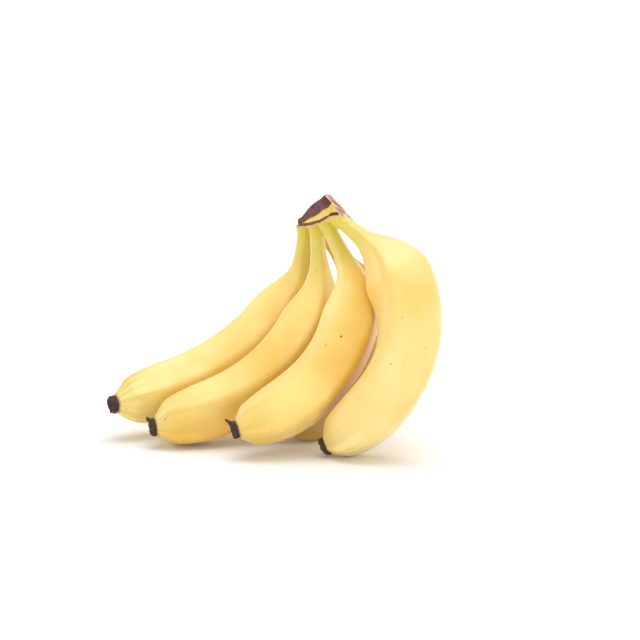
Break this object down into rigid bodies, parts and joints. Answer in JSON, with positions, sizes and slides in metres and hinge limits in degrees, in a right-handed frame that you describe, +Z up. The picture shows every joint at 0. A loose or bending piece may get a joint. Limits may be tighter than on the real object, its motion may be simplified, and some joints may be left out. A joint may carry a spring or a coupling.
{
  "type": "bunch of bananas",
  "caption": "Small bunch of ripe bananas: curved, softly ridged fingers joined by their pedicels to a cut crown, lying on their bellies.",
  "frame": {"origin": "centre of the bounding box's base, on the surface that the bunch lies on", "axes": "+Z up; X along the longest extent, with the blossom ends towards -X and the crown on the +X side; +Y away from the front"},
  "size_m": [0.2036, 0.119, 0.1512],
  "materials": {
    "ripe_peel": "waxy satin peel",
    "cut_crown": "matt, drying, with dark cut faces",
    "dried_blossom": "rough, dry and fibrous"
  },
  "bodies": {
    "root": {"crown": "cut_crown", "banana_1": "ripe_peel", "banana_2": "ripe_peel", "banana_3": "ripe_peel", "banana_4": "ripe_peel", "banana_5": "ripe_peel", "blossom_remnant_1": "dried_blossom", "blossom_remnant_2": "dried_blossom", "blossom_remnant_3": "dried_blossom", "blossom_remnant_4": "dried_blossom", "blossom_remnant_5": "dried_blossom"}
  },
  "joints": []
}
